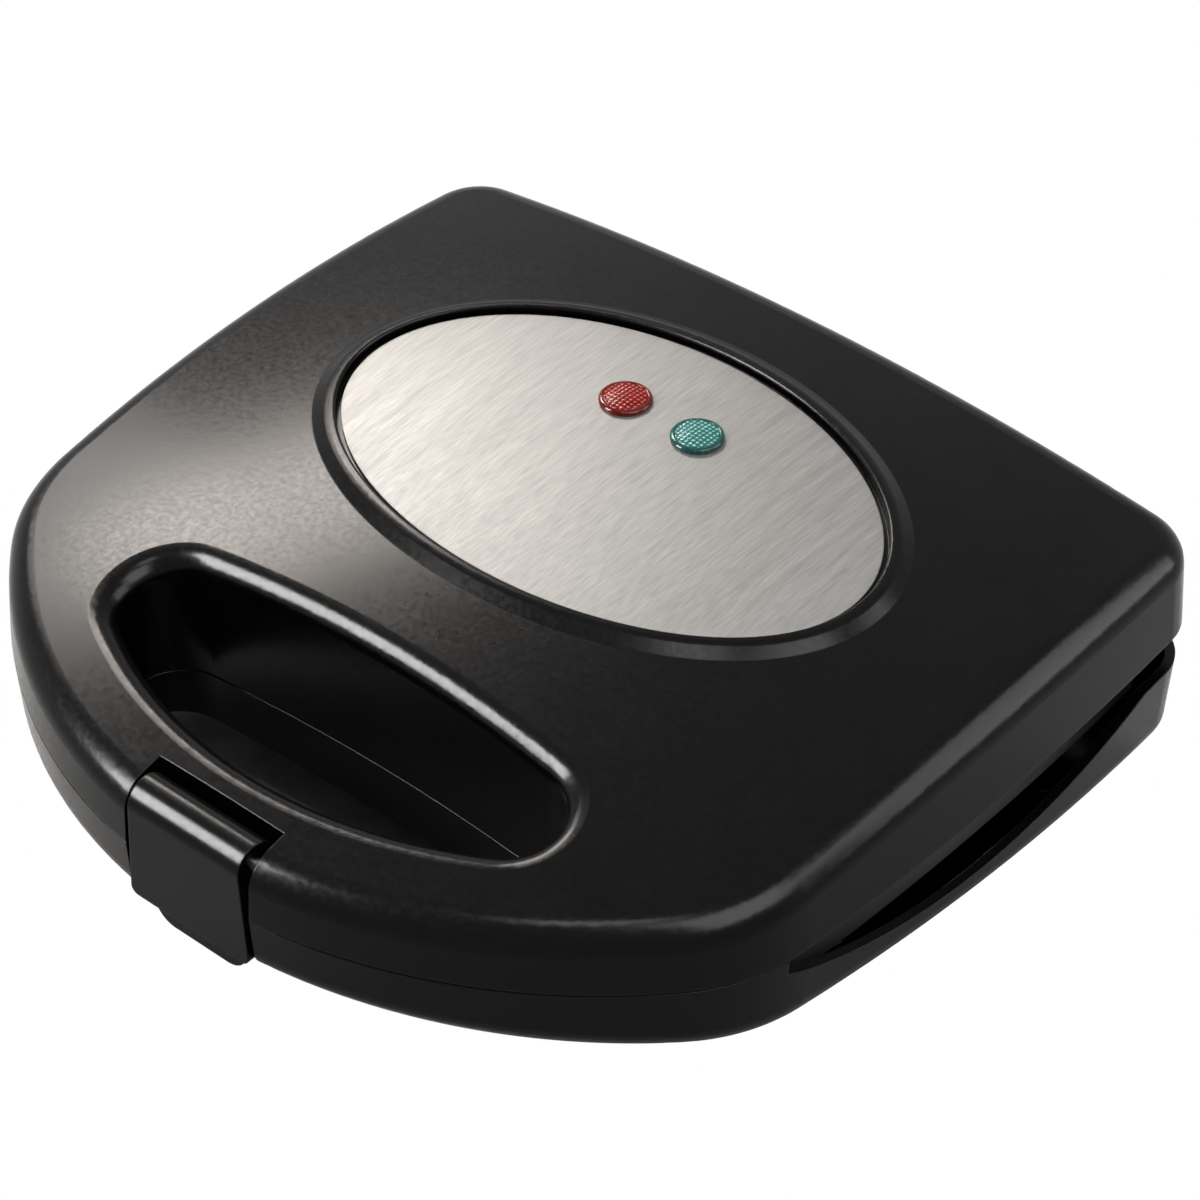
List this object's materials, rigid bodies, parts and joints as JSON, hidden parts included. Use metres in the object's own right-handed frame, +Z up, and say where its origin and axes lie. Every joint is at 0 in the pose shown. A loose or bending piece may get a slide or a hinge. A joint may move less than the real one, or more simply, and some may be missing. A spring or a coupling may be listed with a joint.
{
  "type": "belgian waffle maker",
  "caption": "D-shaped clamshell waffle maker with a hinged domed lid, finger hole grip, front latch, oval metal trim plate and indicator lenses.",
  "frame": {"origin": "on the table, under the centre of the bounding box", "axes": "+X to the right as seen by the user in front, +Y from the latch to the hinge, +Z up"},
  "size_m": [0.2324, 0.218, 0.078],
  "materials": {
    "base_shell": "satin black",
    "base_frame": "matt black, heat resistant",
    "lower_waffle_plate": "black non-stick coating",
    "lower_plate_screws": "plain",
    "lower_heater": "dull, oxidised",
    "lower_heater_clips": "as cast",
    "lower_reflector": "bright sheet",
    "thermostat": "plain can",
    "thermal_fuse": "plain can in a bracket",
    "terminal_block": "off-white",
    "base_wiring": "heat-resistant sleeve, off-white",
    "cord_inlet_bush": "matt black",
    "base_case_screws": "plain",
    "rubber_feet": "matt",
    "hinge_pins": "plain",
    "lid_shell": "satin black",
    "lid_frame": "matt black, heat resistant",
    "upper_waffle_plate": "black non-stick coating",
    "upper_plate_screws": "plain",
    "upper_heater": "dull, oxidised",
    "upper_heater_clips": "as cast",
    "upper_reflector": "bright sheet",
    "lid_case_screws": "plain",
    "lid_wiring": "heat-resistant sleeve, off-white",
    "trim_plate": "brushed from front to back",
    "red_lens": "clear red",
    "green_lens": "clear green",
    "indicator_lamps": "clear",
    "lamp_board": "brown laminate",
    "lamp_screws": "plain",
    "latch_pin": "plain",
    "latch": "satin black"
  },
  "bodies": {
    "base": {"base_shell": "base_shell", "base_frame": "base_frame", "lower_waffle_plate": "lower_waffle_plate", "lower_plate_screws": "lower_plate_screws", "lower_heater": "lower_heater", "lower_heater_clips": "lower_heater_clips", "lower_reflector": "lower_reflector", "thermostat": "thermostat", "thermal_fuse": "thermal_fuse", "terminal_block": "terminal_block", "base_wiring": "base_wiring", "cord_inlet_bush": "cord_inlet_bush", "base_case_screws": "base_case_screws", "rubber_feet": "rubber_feet", "hinge_pins": "hinge_pins"},
    "lid": {"lid_shell": "lid_shell", "lid_frame": "lid_frame", "upper_waffle_plate": "upper_waffle_plate", "upper_plate_screws": "upper_plate_screws", "upper_heater": "upper_heater", "upper_heater_clips": "upper_heater_clips", "upper_reflector": "upper_reflector", "lid_case_screws": "lid_case_screws", "lid_wiring": "lid_wiring", "trim_plate": "trim_plate", "red_lens": "red_lens", "green_lens": "green_lens", "indicator_lamps": "indicator_lamps", "lamp_board": "lamp_board", "lamp_screws": "lamp_screws", "latch_pin": "latch_pin"},
    "latch": {"latch": "latch"}
  },
  "joints": [
    {"name": "lid_hinge", "type": "hinge", "parent": "base", "child": "lid", "pos_m": [0, 0.102, 0.042], "axis": [-1, 0, 0], "range_deg": [0, 100]},
    {"name": "latch_pivot", "type": "hinge", "parent": "lid", "child": "latch", "pos_m": [0, -0.1034, 0.0545], "axis": [-1, 0, 0], "range_deg": [0, 40]}
  ]
}
